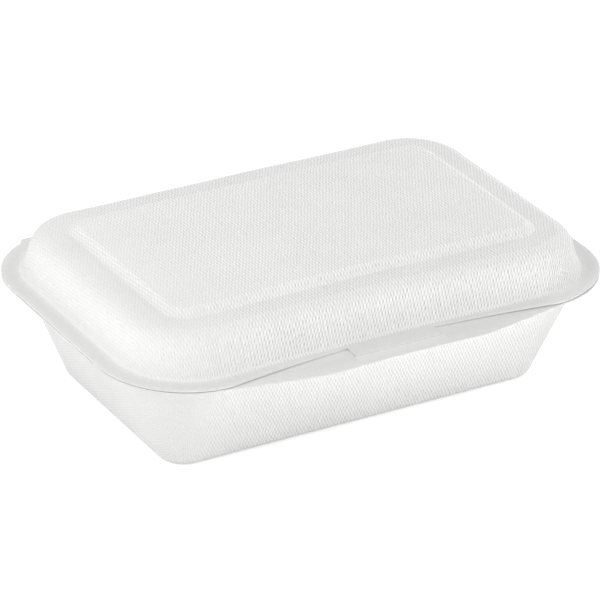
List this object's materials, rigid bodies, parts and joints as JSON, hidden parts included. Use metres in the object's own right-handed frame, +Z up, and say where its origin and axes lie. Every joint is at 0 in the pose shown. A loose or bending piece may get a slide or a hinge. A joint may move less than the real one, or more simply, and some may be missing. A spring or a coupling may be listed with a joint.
{
  "type": "sugarcane pulp meal box",
  "caption": "Rectangular moulded-pulp meal box with sloping walls, a wide front lip and a domed lid that folds at the back and locks with a tongue in a slot.",
  "frame": {"origin": "centre of the tray's flat base, on the table", "axes": "+X along the long side, -Y towards the front lip and tongue, +Z up"},
  "size_m": [0.215, 0.1518, 0.0647],
  "materials": {
    "pulp": "matte, fibrous, with a fine mesh imprint on the outside"
  },
  "bodies": {
    "tray": {"tray": "pulp"},
    "lid": {"lid": "pulp"}
  },
  "joints": [
    {"name": "lid_fold", "type": "hinge", "parent": "tray", "child": "lid", "pos_m": [0, 0.0721, 0.04515], "axis": [-1, 0, 0], "range_deg": [0, 180]}
  ]
}
